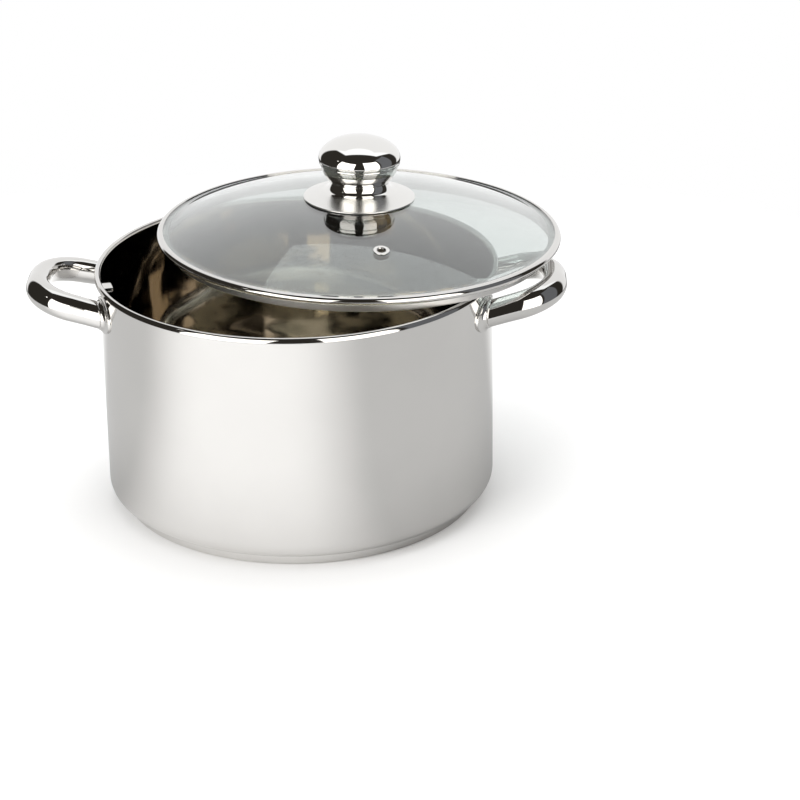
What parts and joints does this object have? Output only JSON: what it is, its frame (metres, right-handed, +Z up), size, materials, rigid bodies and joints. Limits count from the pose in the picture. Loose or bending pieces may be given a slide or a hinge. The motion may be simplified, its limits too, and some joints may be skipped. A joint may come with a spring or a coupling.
{
  "type": "lidded cooking pot",
  "caption": "Tall round cooking pot with hollow loop handles and a thick base disc; its domed glass lid with a steel ring and a round knob lies askew on the rim.",
  "frame": {"origin": "middle of the flat underside, on the axis of the pot", "axes": "+Z up, +X towards the handle that carries the edge of the lid, -Y towards the front"},
  "size_m": [0.3298, 0.2814, 0.2209],
  "materials": {
    "pot_steel": "satin outside, bright inside",
    "base_steel": "fine turned satin",
    "polished_steel": "mirror polish",
    "fittings_steel": "plain bright steel",
    "core_aluminium": "plain",
    "lid_glass": "clear tempered glass",
    "silicone": "matt black"
  },
  "bodies": {
    "root": {"pot_body": "pot_steel", "base_core": "core_aluminium", "base_cap": "base_steel", "right_handle": "polished_steel", "left_handle": "polished_steel", "right_front_foot": "fittings_steel", "right_rear_foot": "fittings_steel", "left_front_foot": "fittings_steel", "left_rear_foot": "fittings_steel", "right_inner_rest": "fittings_steel", "left_inner_rest": "fittings_steel", "lid_glass": "lid_glass", "lid_ring": "polished_steel", "vent_eyelet": "polished_steel", "knob_cap": "polished_steel", "knob_bowl": "polished_steel", "knob_skirt": "polished_steel", "knob_insert": "fittings_steel", "knob_seal": "silicone", "knob_bush": "silicone", "screw_seal": "silicone", "knob_washer": "fittings_steel", "knob_screw": "fittings_steel"}
  },
  "joints": []
}
